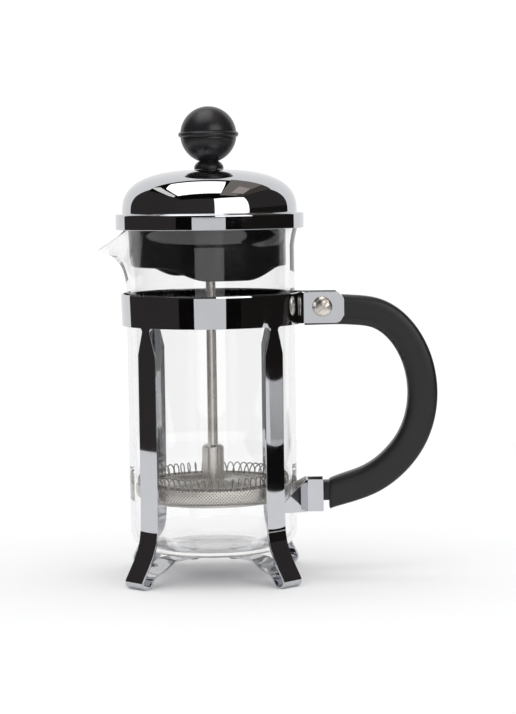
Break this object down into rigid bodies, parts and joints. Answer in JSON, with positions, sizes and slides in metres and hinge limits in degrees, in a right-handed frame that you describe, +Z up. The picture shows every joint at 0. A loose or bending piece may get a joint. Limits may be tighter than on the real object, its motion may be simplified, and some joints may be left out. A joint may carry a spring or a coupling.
{
  "type": "french press",
  "caption": "Small french press: clear glass beaker in a chromed sheet cage with a black D handle, domed chrome lid, ball knob and a spring-edged mesh plunger.",
  "frame": {"origin": "bottom centre of the bounding box, on the table the four toes stand on; the beaker's axis is at x = -23.87 mm", "axes": "+Z up along the rod, +X towards the handle, -X towards the spout, +Y to the far side seen from the front"},
  "size_m": [0.1406, 0.0782, 0.1962],
  "materials": {
    "clear_glass": "clear borosilicate glass, smooth",
    "chrome": "mirror-polished chrome plating on steel sheet",
    "brushed_steel": "satin stainless steel with fine drawing lines",
    "steel_mesh": "fine woven stainless wire cloth",
    "nickel": "warm nickel plating",
    "brass": "plain turned brass",
    "black_plastic": "black polypropylene, soft satin",
    "gloss_black": "black moulded plastic, glossy"
  },
  "bodies": {
    "cage": {"cage_band": "chrome", "cage_leg_1": "chrome", "cage_leg_2": "chrome", "cage_leg_3": "chrome", "cage_leg_4": "chrome", "base_disc": "chrome", "base_rivet_1": "brushed_steel", "base_rivet_2": "brushed_steel", "base_rivet_3": "brushed_steel", "base_rivet_4": "brushed_steel", "handle": "black_plastic", "handle_screw": "nickel", "handle_nut": "nickel", "handle_bracket": "chrome"},
    "beaker": {"beaker": "clear_glass"},
    "lid_core": {"rod_bush": "gloss_black"},
    "lid": {"lid_dome": "chrome", "lid_insert": "gloss_black", "lid_clip": "brushed_steel"},
    "plunger": {"knob": "black_plastic", "knob_insert": "brass", "plunger_rod": "brushed_steel", "rod_coupling": "brushed_steel", "spiral_plate": "brushed_steel", "coil_spring": "brushed_steel", "mesh_filter": "steel_mesh", "cross_plate": "brushed_steel"}
  },
  "joints": [
    {"name": "beaker_lift", "type": "slide", "parent": "cage", "child": "beaker", "axis": [0, 0, 1], "range_m": [0, 0.115]},
    {"name": "lid_lift", "type": "slide", "parent": "beaker", "child": "lid_core", "axis": [0, 0, 1], "range_m": [0, 0.13]},
    {"name": "lid_turn", "type": "hinge", "parent": "lid_core", "child": "lid", "pos_m": [-0.02387, 0, 0.15], "axis": [0, 0, 1], "continuous": true},
    {"name": "plunger_slide", "type": "slide", "parent": "lid_core", "child": "plunger", "axis": [0, 0, 1], "range_m": [0, 0.079]}
  ]
}
